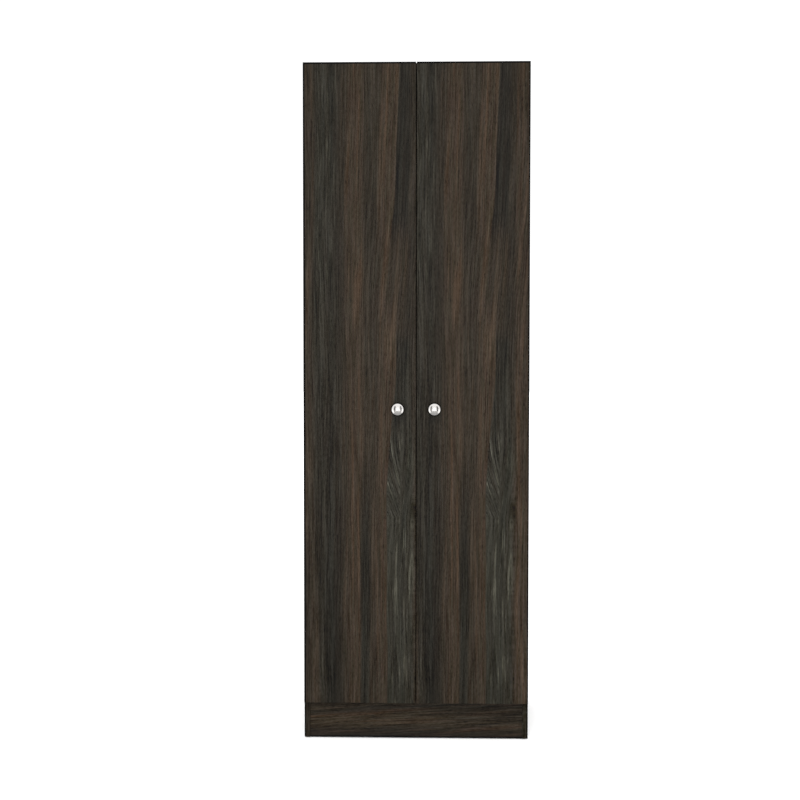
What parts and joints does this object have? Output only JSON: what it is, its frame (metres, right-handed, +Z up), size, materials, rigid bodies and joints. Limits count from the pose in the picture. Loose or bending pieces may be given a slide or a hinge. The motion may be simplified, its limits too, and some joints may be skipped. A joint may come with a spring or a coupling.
{
  "type": "linen cabinet",
  "caption": "Tall linen cabinet in dark wood-grain laminate with overlay doors on concealed hinges, round metal knobs, inner shelves and a kick board.",
  "frame": {"origin": "on the floor, under the middle of the cabinet's box (doors closed, knobs included)", "axes": "+Z up, +Y to the back, +X to the right of a person facing the doors"},
  "size_m": [0.6, 0.425, 1.8],
  "materials": {
    "dark_laminate": "dark wood-print laminate on particle board, matt",
    "hardboard": "bare hardboard sheet",
    "beech": "fluted dowel, bare",
    "satin_nickel": "polished to satin nickel plating",
    "hinge_nickel": "nickel-plated pressed steel",
    "plated_steel": "zinc-plated",
    "bright_steel": "bright zinc-plated screws and nails",
    "die_cast_zinc": "raw die-cast zinc",
    "dark_plastic": "moulded plastic",
    "soft_bumper": "clear soft bumper"
  },
  "bodies": {
    "carcass": {"left_side_panel": "dark_laminate", "right_side_panel": "dark_laminate", "top_panel": "dark_laminate", "bottom_panel": "dark_laminate", "kick_board": "dark_laminate", "fixed_shelf": "dark_laminate", "adjustable_shelf_lower": "dark_laminate", "adjustable_shelf_middle": "dark_laminate", "adjustable_shelf_upper": "dark_laminate", "back_panel_lower": "hardboard", "back_panel_upper": "hardboard", "back_panel_nails": "bright_steel", "cam_locks": "die_cast_zinc", "cam_bolts": "plated_steel", "wooden_dowels": "beech", "shelf_pins": "plated_steel", "floor_glides": "dark_plastic", "anti_tip_brackets": "plated_steel", "anti_tip_screws": "bright_steel", "left_hinge_arms": "hinge_nickel", "left_hinge_plates": "hinge_nickel", "left_hinge_plate_screws": "bright_steel", "left_hinge_arm_screws": "bright_steel", "right_hinge_arms": "hinge_nickel", "right_hinge_plates": "hinge_nickel", "right_hinge_plate_screws": "bright_steel", "right_hinge_arm_screws": "bright_steel"},
    "left_door": {"left_door_panel": "dark_laminate", "left_hinge_cups": "hinge_nickel", "left_hinge_cup_screws": "bright_steel", "left_hinge_pins": "bright_steel", "left_knob": "satin_nickel", "left_knob_screw": "bright_steel", "left_door_bumpers": "soft_bumper"},
    "right_door": {"right_door_panel": "dark_laminate", "right_hinge_cups": "hinge_nickel", "right_hinge_cup_screws": "bright_steel", "right_hinge_pins": "bright_steel", "right_knob": "satin_nickel", "right_knob_screw": "bright_steel", "right_door_bumpers": "soft_bumper"}
  },
  "joints": [
    {"name": "left_door", "type": "hinge", "parent": "carcass", "child": "left_door", "pos_m": [-0.2918, -0.1795, 0.95], "axis": [0, 0, -1], "range_deg": [0, 100]},
    {"name": "right_door", "type": "hinge", "parent": "carcass", "child": "right_door", "pos_m": [0.2918, -0.1795, 0.95], "axis": [0, 0, 1], "range_deg": [0, 100]}
  ]
}
